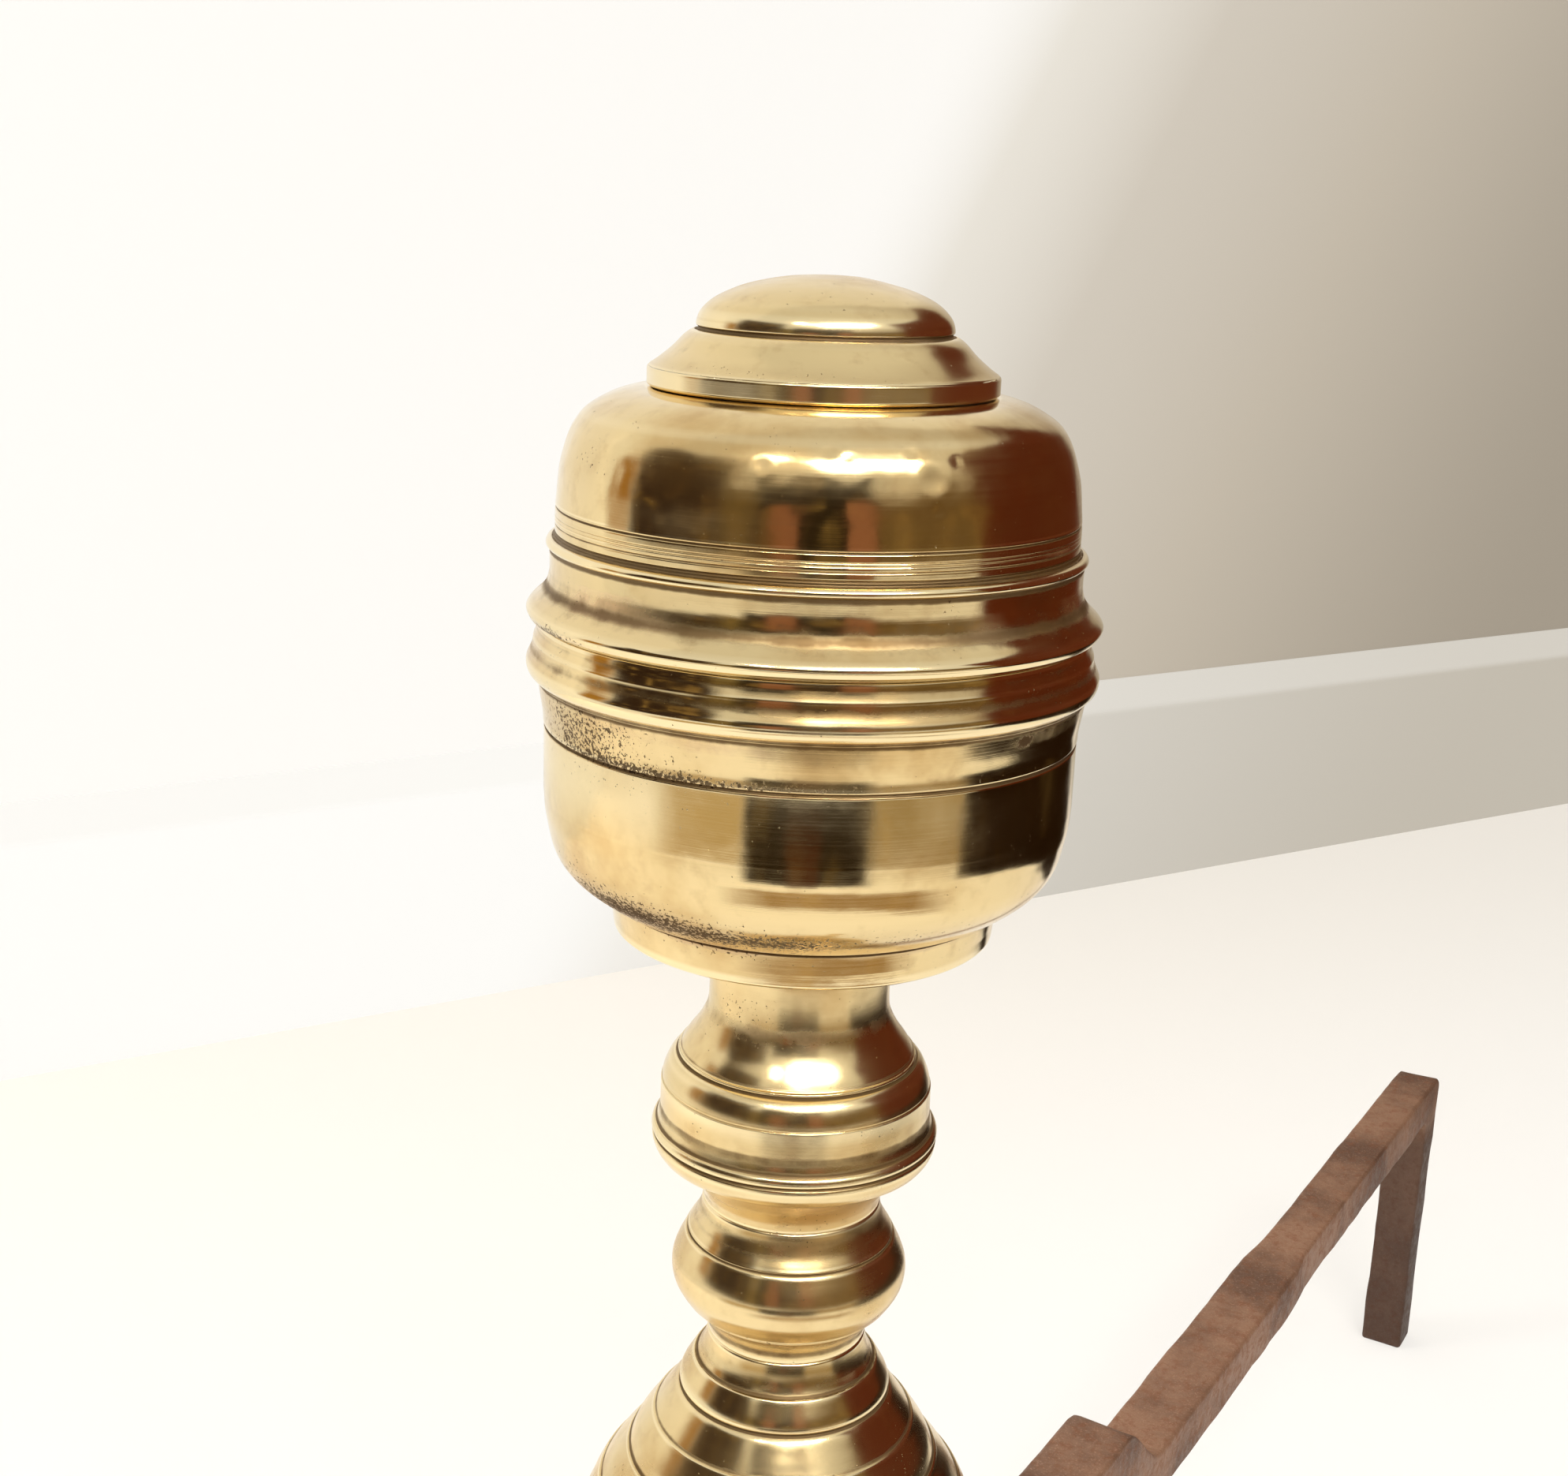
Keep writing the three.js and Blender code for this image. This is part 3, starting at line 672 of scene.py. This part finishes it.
upper_shell_outline = [
    (48.7, 0.0),
    (50.3, 0.9),
    [
        *((50.8, 1.9), (50.65, 2.6), (49.9, 3.5), (48.7, 4.6)),
        *((47.5, 6.1), (46.95, 7.9), (46.8, 9.6), (46.85, 12.2)),
    ],
    (46.85, 12.75),
    (47.1, 12.9),
    [(47.45, 13.3), (47.45, 13.8), (47.15, 14.25)],
    (46.6, 14.5),
    (45.95, 14.7),
    *fine_line(45.95, 15.4),
    *fine_line(45.95, 16.8, 0.22),
    *fine_line(45.95, 17.7, 0.16, 0.3),
    *fine_line(45.95, 18.3, 0.16, 0.3),
    *fine_line(45.9, 19.8, 0.4, 0.5),
    [
        *((45.75, 21.6), (45.35, 25.8), (44.95, 28.0), (44.4, 30.1), (43.7, 32.2)),
        *((42.65, 34.3), (40.9, 36.5), (37.5, 38.65), (34.0, 39.95), (30.6, 40.5)),
    ],
    (30.4, 40.5),
    (0, 40.5),
]

# Each dent: degrees to the right of the camera, height on the shell, radius and depth.
dents = [
    (23.8, 31.0, 2.4, 0.19),
    (24.2, 26.2, 1.3, 0.12),
    (1.9, 35.3, 1.4, 0.16),
    (5.7, 34.2, 1.2, 0.12),
    (19.5, 35.2, 1.3, 0.14),
    (29.5, 33.6, 1.2, 0.09),
    (-12, 32.5, 1.6, 0.08),
]


def knocked(bm, base):
    """Pushes the dents in, each with a faint rim, among shallow hollows."""
    beaten(bm, base + 22 * MM, base + 40.2 * MM, 0.09)
    for vert in bm.verts:
        out = Vector((vert.co.x, vert.co.y - axis_y, 0))
        for angle, height, radius, depth in dents:
            heading = camera_side + math.radians(angle)
            aim = Vector((math.sin(heading), -math.cos(heading), 0)) * out.length
            away = math.hypot((out - aim).length, vert.co.z - base - height * MM) / (radius * MM)
            if away < 2.5:
                push = depth * (math.exp(-2 * away * away) - 0.35 * math.exp(-8 * (away - 1) ** 2))
                vert.co -= out.normalized() * push * MM


upper_shell_grime = [
    (-65, 0.8, 25, 1.2, 0.9),
    (-50, 7, 25, 3, 0.3),
    (-57, 30, 9, 4, 0.35),
    (-10, 37, 50, 2, 0.2),
    (150, 2, 40, 2, 0.6),
]
turned_piece(
    "ball_upper_shell", upper_shell_outline, "finial_upper_shell", upper_shell_grime, steps=360, shape=knocked
)

# ---------------------------------------------------------------------------------------------------
# The lower half of the ball. A hollow casting like the upper: foot ring, deep bowl, one scribed line,
# the slope and the second belt, whose cove leads into the dark joint between the two halves.

lower_shell_outline = [
    (34.2, 0.0),
    (34.75, 0.5),
    (35.05, 3.0),
    (35.6, 6.5),
    (35.25, 6.75),
    (35.9, 7.0),
    [
        *((37.6, 7.5), (40.3, 9.3), (43.0, 11.5), (44.85, 13.7), (45.9, 15.8)),
        *((46.5, 18.0), (46.95, 20.2), (47.35, 22.5), (47.6, 26.0)),
    ],
    (47.65, 37.6),
    (47.2, 38.0),
    (47.75, 38.35),
    [(47.85, 40.2), (48.3, 42.9), (48.7, 45.6)],
    (48.8, 46.3),
    (49.15, 46.45),
    (49.2, 46.85),
    (49.75, 47.15),
    [(50.5, 47.9), (50.8, 48.9), (50.75, 49.8), (50.35, 50.7), (49.9, 51.7), (49.65, 52.8)],
    (49.6, 53.5),
    [(49.25, 54.3), (48.9, 55.2), (48.75, 56.0)],
    (48.6, 56.5),
    (0, 56.5),
]
lower_shell_grime = [
    (-52, 41, 22, 3.5, 0.85),
    (-48, 45, 18, 2, 0.6),
    (-30, 38.7, 26, 1, 0.8),
    (12, 39, 40, 1, 0.4),
    (-44, 12, 24, 4, 1.25),
    (-12, 10.5, 22, 2.6, 0.8),
    (25, 11.5, 40, 2.5, 0.42),
    (-25, 5.5, 25, 1.6, 0.6),
    (46.6, 44.6, 2.2, 1.1, 2.5),
    (160, 10, 50, 3, 0.7),
    (140, 41, 40, 3, 0.5),
]
turned_piece("ball_lower_shell", lower_shell_outline, "finial_lower_shell", lower_shell_grime, steps=256)

# ---------------------------------------------------------------------------------------------------
# The upper knop. A hollow casting between two necks: from below an ogee band, a bead, a plain band with
# a line above it, a round shoulder and a small fillet.

upper_knop_outline = [
    (16.9, 0.0),
    [(17.0, 0.8), (17.4, 2.1), (18.7, 4.3), (20.7, 6.4), (23.3, 8.6)],
    (24.7, 9.6),
    (25.5, 9.9),
    [(26.3, 11.0), (26.8, 12.3), (26.9, 13.3)],
    (26.6, 13.7),
    (26.35, 13.9),
    [(26.9, 14.25), (27.0, 14.9), (26.7, 15.6)],
    (26.35, 15.9),
    (26.1, 16.1),
    [(25.8, 17.1), (25.5, 18.3), (25.45, 19.5)],
    (25.4, 24.0),
    (25.1, 24.15),
    (25.2, 24.45),
    [(24.85, 25.9), (23.95, 27.9), (22.9, 29.1)],
    (22.45, 29.35),
    (22.1, 29.45),
    (22.35, 29.75),
    (22.3, 30.1),
    (21.9, 30.3),
    [
        *((20.8, 32.1), (19.2, 34.3), (18.0, 36.4), (17.1, 38.6), (16.8, 41.0)),
        *((16.85, 45.0), (17.3, 49.5), (18.6, 53.0), (20.5, 54.8)),
    ],
    (0, 54.8),
]
upper_knop_grime = [(-35, 42, 35, 5, 0.45), (170, 36, 50, 4, 0.5)]
turned_piece("knop_above", upper_knop_outline, "upper_knop", upper_knop_grime, rubbed_brass)

# ---------------------------------------------------------------------------------------------------
# The lower knop. A hollow casting: fine fillets, a fat round and one scribed line under the neck.

lower_knop_outline = [
    (15.2, 0.0),
    [(15.35, 1.2), (15.7, 2.4), (16.9, 4.3), (18.2, 5.7)],
    (18.7, 6.1),
    (18.7, 6.5),
    (19.3, 6.6),
    (19.3, 7.1),
    (19.9, 7.25),
    [(21.2, 9.2), (22.1, 11.0), (22.5, 13.0), (22.4, 15.1), (21.7, 17.2), (20.7, 19.3), (20.1, 20.5)],
    (19.8, 20.8),
    (19.4, 21.0),
    (19.7, 21.25),
    [(18.9, 22.5), (18.2, 23.6), (17.3, 25.7), (16.9, 27.8)],
    (0, 27.8),
]
turned_piece("knop_below", lower_knop_outline, "lower_knop", [(-30, 6.5, 60, 2, 0.4)], rubbed_brass)

# ---------------------------------------------------------------------------------------------------
# The bell. A hollow casting: a ring under the neck, then the bell in four waves with a small step
# between each two, down to its round lip.

bell_outline = [
    (40.4, 0.0),
    [(42.0, 1.5), (42.3, 3.2), (41.8, 5.0)],
    (41.2, 6.0),
    (40.2, 6.3),
    (40.2, 7.6),
    [(41.0, 10.0), (41.2, 13.0), (40.5, 17.0), (39.2, 20.8), (38.2, 23.0), (37.4, 25.2), (36.4, 27.2)],
    (36.0, 27.9),
    (35.5, 28.1),
    [(33.4, 31.4), (31.7, 33.6), (30.8, 34.8)],
    (30.5, 35.3),
    (30.0, 35.5),
    [(28.9, 38.0), (27.5, 40.2), (26.1, 42.2)],
    (25.6, 43.0),
    (25.1, 43.2),
    [(22.8, 46.4), (21.2, 48.6), (20.5, 49.2)],
    (20.1, 49.4),
    (20.3, 49.7),
    [(20.5, 50.4), (20.1, 51.6), (19.2, 53.2), (18.3, 54.7)],
    (17.9, 55.3),
    (17.3, 55.5),
    [(16.3, 57.2), (15.6, 59.3), (15.2, 61.4)],
    (0, 61.4),
]
bell_grime = [(-30, 6.8, 90, 1.5, 0.5), (150, 50, 60, 2, 0.4)]
turned_piece("bell", bell_outline, "bell_shaft", bell_grime, rubbed_brass)

# ---------------------------------------------------------------------------------------------------
# The base spool. A hollow casting that carries the bell on the plinth: a round above, a deep waist and
# a round below.

spool_outline = [
    (38.2, 0.0),
    [(40.6, 1.2), (41.3, 3.0), (40.4, 5.0)],
    (39.2, 5.9),
    (36.2, 6.4),
    (36.0, 7.4),
    [(32.5, 10.6), (29.2, 15.6), (27.1, 22.0), (27.6, 28.0), (30.0, 32.2), (33.0, 34.0)],
    (34.0, 34.2),
    (34.2, 35.2),
    [(36.2, 36.6), (37.0, 38.8), (36.0, 41.2)],
    (34.6, 42.0),
    (0, 42.0),
]
turned_piece("spool_below_bell", spool_outline, "base_spool", [(0, 8, 180, 3, 0.35)], rubbed_brass)

# ---------------------------------------------------------------------------------------------------
# The plinth. A cast box with stepped, softened ledges, open below, whose slot lets the bar out behind.
# It keeps its solid, which gets soft edges here.

cast_brass = brass_material("cast_polished_brass", 0.17, 0.0)
weld_reach = 0.01  # mm, under which loose corners are one
sharp_angle = 35  # degrees, over which an edge is rounded


def softened(node, width, material, segments=3):
    """Welds a solid's loose triangles, rounds its edges, and gives it its finish."""
    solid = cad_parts[node]
    weld = solid.modifiers.new("weld", "WELD")
    weld.merge_threshold = weld_reach * MM
    bevel = solid.modifiers.new("soft_edges", "BEVEL")
    bevel.width = width * MM
    bevel.segments = segments
    bevel.limit_method = "ANGLE"
    bevel.angle_limit = math.radians(sharp_angle)
    bevel.harden_normals = True
    for slot in solid.material_slots:
        slot.material = material


softened("plinth", 0.55, cast_brass)

# ---------------------------------------------------------------------------------------------------
# The plate under the plinth. Cast brass with a boss: the bar's eye sits on it, and the legs are riveted
# under it. It keeps its solid too, with softer edges.

softened("leg_bridge", 0.8, cast_brass)

# ---------------------------------------------------------------------------------------------------
# The front legs. Cast cabriole legs on turned feet, each held under the plate by two rivets.


def fused(node, voxel, smoothing, material):
    """Flows a solid's facets together, as a casting's surfaces do."""
    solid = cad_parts[node]
    remesh = solid.modifiers.new("one_skin", "REMESH")
    remesh.mode = "VOXEL"
    remesh.voxel_size = voxel * MM
    remesh.use_smooth_shade = True
    smooth = solid.modifiers.new("smoothed", "SMOOTH")
    smooth.factor = 0.5
    smooth.iterations = smoothing
    for slot in solid.material_slots:
        slot.material = material


for side in ("right", "left"):
    fused(f"front_leg_{side}", 0.9, 8, cast_brass)
    for number in (1, 2):
        softened(f"leg_rivet_{side}_{number}", 0.3, cast_brass, 2)

# ---------------------------------------------------------------------------------------------------
# The tie rod, its washer and its nut. Wrought iron: the rod runs up inside the column to the cap.

burn_size = 45  # mm across a darker stretch
scale_size = 3.2  # mm across a flake of fire scale
hammer_size = 14  # mm between the marks of the hammer
ash_size = 0.6  # mm across a grain of ash


def iron_material(name, face_colour, deep_colour, rust_colour, ash_colour):
    """Forged iron under years of fire: brown scale with darker stretches, flakes of rust and pale ash, and a
    painted shade where the piece marks one.
    """
    material = bpy.data.materials.new(name)
    material.use_nodes = True
    tree = material.node_tree
    shader = tree.nodes["Principled BSDF"]
    place = add(tree, "ShaderNodeTexCoord").outputs["Object"]
    burns = cloud(tree, place, burn_size, 5)
    flakes = cloud(tree, place, scale_size, 5, 0.65, 0.4)
    ash = cloud(tree, place, ash_size, 2)
    blows = cloud(tree, place, hammer_size, 1, 0.3)
    colour = mix(tree, spread(tree, burns, 0.38, 0.64), face_colour, deep_colour)
    colour = mix(tree, math_node(tree, "MULTIPLY", spread(tree, flakes, 0.48, 0.7), 0.6), colour, rust_colour)
    colour = mix(tree, math_node(tree, "MULTIPLY", spread(tree, ash, 0.52, 0.75), 0.45), colour, ash_colour)
    # Painted shade: where the piece marks it, the iron is darkened as it stands in shadow.
    leg_shade = add(tree, "ShaderNodeAttribute", attribute_name="leg_shade").outputs["Fac"]
    colour = mix(tree, math_node(tree, "MULTIPLY", leg_shade, 0.8), colour, "#3d291e")
    tree.links.new(colour, shader.inputs["Base Color"])
    shader.inputs["Metallic"].default_value = 0.15
    tree.links.new(spread(tree, flakes, 0.3, 0.75, 0.48, 0.82), shader.inputs["Roughness"])
    lift = math_node(tree, "MULTIPLY", blows, 0.9)
    lift = math_node(tree, "MULTIPLY_ADD", flakes, 0.35, lift)
    lift = math_node(tree, "MULTIPLY_ADD", ash, 0.06, lift)
    bump = add(tree, "ShaderNodeBump", {"Strength": 0.8, "Distance": MM}, {"Height": lift})
    tree.links.new(bump.outputs[0], shader.inputs["Normal"])
    return material


forged_iron = iron_material("forged_iron", "#8d6850", "#5f412f", "#7a4a30", "#b08d76")
wrought_iron = iron_material("wrought_iron", "#5d4a3e", "#3a2c25", "#6b4028", "#8c7768")
softened("rod_washer", 0.4, wrought_iron, 2)
softened("rod_nut", 0.7, wrought_iron)
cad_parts["tie_rod"].material_slots[0].material = wrought_iron

# ---------------------------------------------------------------------------------------------------
# The billet bar. One forging of square iron: the eye on the tie rod, the raised part that stops the
# logs, the slope down, the long bar, and the end turned down square into the rear leg.

bar_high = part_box("billet_bar")[1]
stop_top, bar_end = bar_high[2] / MM, (bar_high[1] - axis_y) / MM
bar_top, bar_depth, bar_width, rear_width = 123.5, 16, 20, 17
log_stop_end, slope_length, leg_depth = 178, 28, 15.5
taper_from, taper_to = 335, 348
bar_start = -15  # in front of the column's axis
outer_turn, inner_turn = 5, 4  # radii where it turns down into the leg
worn_edge = 1.7
cut_spacing = 6  # between the cuts that let the hammering show in the bar's edges
leg_shade_height = 4  # above the bar's underside, where the painted shade starts
leg_shade_fade = 14  # down from there to where the painted shade is darkest


def side_view(y, z, shift):
    """A run of points down the slope behind the log stop, for the top or the underside."""
    steps = 8
    drop = stop_top - bar_top
    return [
        (y + slope_length * t, z - drop * (3 * t * t - 2 * t**3) - shift)
        for t in (step / steps for step in range(steps + 1))
    ]


def quarter(y, z, radius, start):
    """A quarter circle of points round a corner of the side view, from an angle in degrees, clockwise."""
    return [
        (y + radius * math.cos(math.radians(start - a)), z + radius * math.sin(math.radians(start - a)))
        for a in range(0, 91, 15)
    ]


bm = bmesh.new()
inner = bar_end - leg_depth
outline = [(bar_start, stop_top - bar_depth), (bar_start, stop_top)]
outline += side_view(log_stop_end, stop_top, 0)
outline += quarter(bar_end - outer_turn, bar_top - outer_turn, outer_turn, 90)
outline += [(bar_end, 0), (inner, 0)]
outline += reversed(quarter(inner - inner_turn, bar_top - bar_depth - inner_turn, inner_turn, 90))
outline += reversed(side_view(log_stop_end, stop_top, bar_depth))
rim = [bm.verts.new((-bar_width / 2 * MM, y * MM + axis_y, z * MM)) for y, z in outline]
flat = bm.faces.new(rim)
grown = bmesh.ops.extrude_face_region(bm, geom=[flat])
far_verts = [v for v in grown["geom"] if isinstance(v, bmesh.types.BMVert)]
bmesh.ops.translate(bm, verts=far_verts, vec=(bar_width * MM, 0, 0))
bmesh.ops.recalc_face_normals(bm, faces=bm.faces)
long_edges = [e for e in bm.edges if e.calc_face_angle(0) > math.radians(40)]
bmesh.ops.bevel(
    bm,
    geom=long_edges,
    offset=worn_edge * MM,
    segments=3,
    profile=0.5,
    material=-1,
    affect="EDGES",
    clamp_overlap=True,
)
cuts = [
    (Vector((0, (bar_start + step * cut_spacing) * MM + axis_y, 0)), (0, 1, 0))
    for step in range(1, int((bar_end - bar_start) / cut_spacing))
]
cuts += [
    (Vector((0, 0, step * cut_spacing * MM)), (0, 0, 1))
    for step in range(1, int(bar_top / cut_spacing))
]
cuts += [(Vector((x * MM, 0, 0)), (1, 0, 0)) for x in (-5, 0, 5)]
for place, way in cuts:
    geometry = [*bm.verts, *bm.edges, *bm.faces]
    bmesh.ops.bisect_plane(bm, geom=geometry, plane_co=place, plane_no=way, dist=1e-6)
bmesh.ops.triangulate(bm, faces=[f for f in bm.faces if len(f.verts) > 4])
for vert in bm.verts:
    along = (vert.co.y - axis_y) / MM
    taper = max(0, min(1, (along - taper_from) / (taper_to - taper_from)))
    vert.co.x *= 1 - taper * (1 - rear_width / bar_width)
# Painted shade on the bar's underside and the rear leg: darker from just above the underside down, as the leg
# stands in shadow.
leg_shade = bm.verts.layers.float.new("leg_shade")
for vert in bm.verts:
    vert[leg_shade] = max(0, min(1, (bar_top - bar_depth + leg_shade_height - vert.co.z / MM) / leg_shade_fade))
bm.normal_update()
moves = []
for vert in bm.verts:
    blow = noise.noise(vert.co / (11 * MM)) * 0.35 + noise.noise(vert.co / (38 * MM)) * 0.45
    moves.append(vert.normal * (blow - 0.25) * MM)
for vert, move in zip(bm.verts, moves):
    vert.co += move if vert.co.z > 2 * MM else Vector((move.x, move.y, 0))
finished(bm, "billet_bar_forging", forged_iron, "billet_bar", slot="iron")
